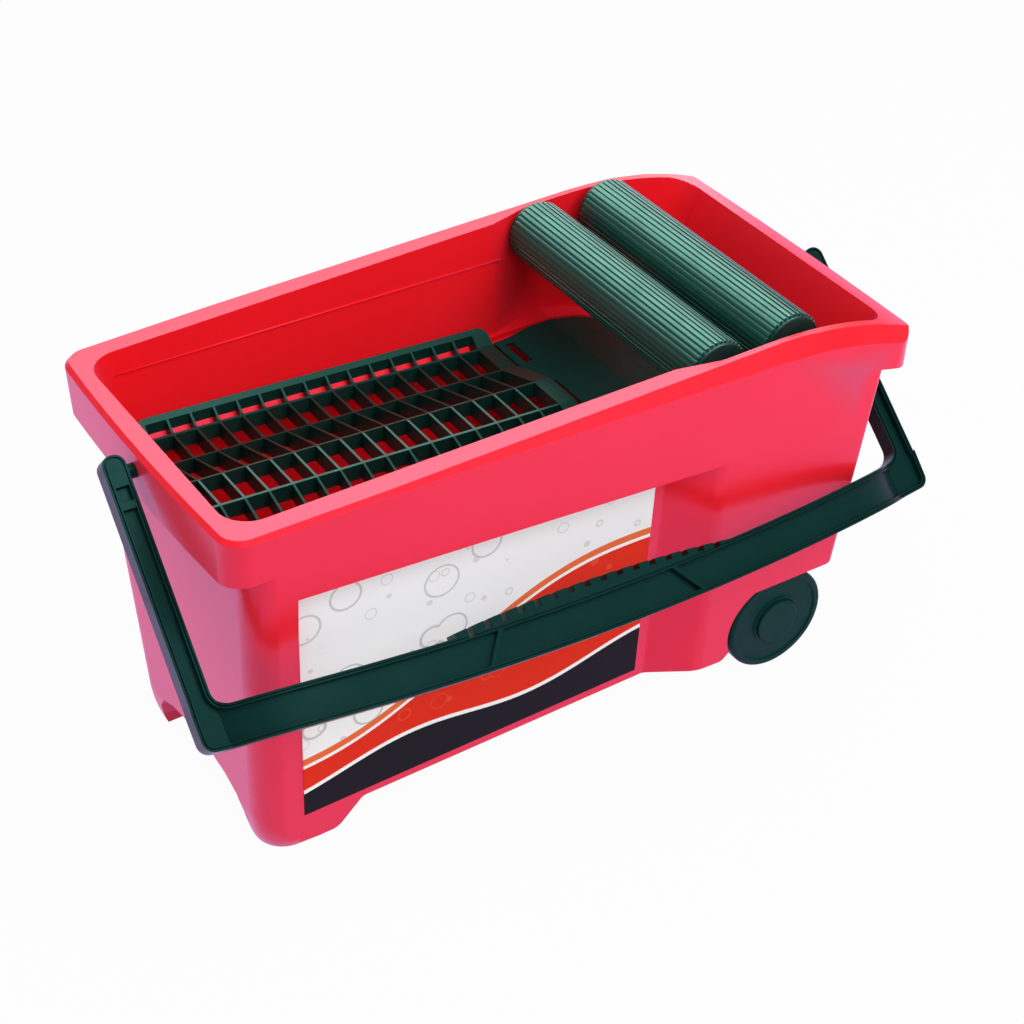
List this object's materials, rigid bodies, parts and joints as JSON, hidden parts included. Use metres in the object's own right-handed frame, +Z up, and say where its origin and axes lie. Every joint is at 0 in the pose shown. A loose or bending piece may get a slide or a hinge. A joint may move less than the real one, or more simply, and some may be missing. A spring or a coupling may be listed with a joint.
{
  "type": "grout cleaning bucket",
  "caption": "Long plastic wash tub for grout sponges, with a lift-out scrub grid, fluted wringer rollers, rear wheels and a swinging bail handle.",
  "frame": {"origin": "bottom centre of the bounding box at rest, on the floor under the feet and wheels", "axes": "+X along the tub from the scrubbing end to the wheels and rollers, +Z up, -Y to the label side where the handle hangs"},
  "size_m": [0.5929, 0.3044, 0.3065],
  "materials": {
    "red_tub": "saturated red moulded polypropylene, satin gloss",
    "label_sheet": null,
    "dark_plastic": "very dark green-black moulded plastic, satin",
    "roller_plastic": "very dark green-black fluted roller plastic, satin",
    "wheel_plastic": "very dark moulded plastic, matte",
    "bush_plastic": "dark self-lubricating plastic",
    "zinc_steel": "zinc-plated steel"
  },
  "bodies": {
    "tub_body": {"tub": "red_tub", "front_label": "label_sheet", "drip_ramp": "dark_plastic", "roller_bushes": "bush_plastic", "wheel_axle": "zinc_steel", "axle_washers": "zinc_steel", "axle_push_nuts": "zinc_steel"},
    "bail": {"handle": "dark_plastic", "handle_pin_left": "dark_plastic", "handle_pin_right": "dark_plastic", "handle_pin_washers": "zinc_steel"},
    "inner_roller": {"inner_roller_sleeve": "roller_plastic", "inner_roller_cap_front": "roller_plastic", "inner_roller_cap_back": "roller_plastic", "inner_roller_axle": "zinc_steel"},
    "outer_roller": {"outer_roller_sleeve": "roller_plastic", "outer_roller_cap_front": "roller_plastic", "outer_roller_cap_back": "roller_plastic", "outer_roller_axle": "zinc_steel"},
    "front_wheel": {"wheel_front": "wheel_plastic", "hub_cap_front": "wheel_plastic"},
    "back_wheel": {"wheel_back": "wheel_plastic", "hub_cap_back": "wheel_plastic"},
    "grid": {"scrub_grid": "dark_plastic"}
  },
  "joints": [
    {"name": "handle_swing", "type": "hinge", "parent": "tub_body", "child": "bail", "pos_m": [0.00247, 0.01733, 0.268], "axis": [-0.9985, 0, 0.0551], "range_deg": [0, 250.5]},
    {"name": "inner_roller_turn", "type": "hinge", "parent": "tub_body", "child": "inner_roller", "pos_m": [0.11017, 0.01733, 0.283], "axis": [0, 1, 0], "continuous": true},
    {"name": "outer_roller_turn", "type": "hinge", "parent": "tub_body", "child": "outer_roller", "pos_m": [0.17217, 0.01733, 0.283], "axis": [0, 1, 0], "continuous": true},
    {"name": "front_wheel_roll", "type": "hinge", "parent": "tub_body", "child": "front_wheel", "pos_m": [0.17617, -0.08567, 0.042], "axis": [0, 1, 0], "continuous": true},
    {"name": "back_wheel_roll", "type": "hinge", "parent": "tub_body", "child": "back_wheel", "pos_m": [0.17617, 0.12033, 0.042], "axis": [0, 1, 0], "continuous": true},
    {"name": "grid_lift", "type": "slide", "parent": "tub_body", "child": "grid", "axis": [0, 0, 1], "range_m": [0, 0.1]}
  ]
}
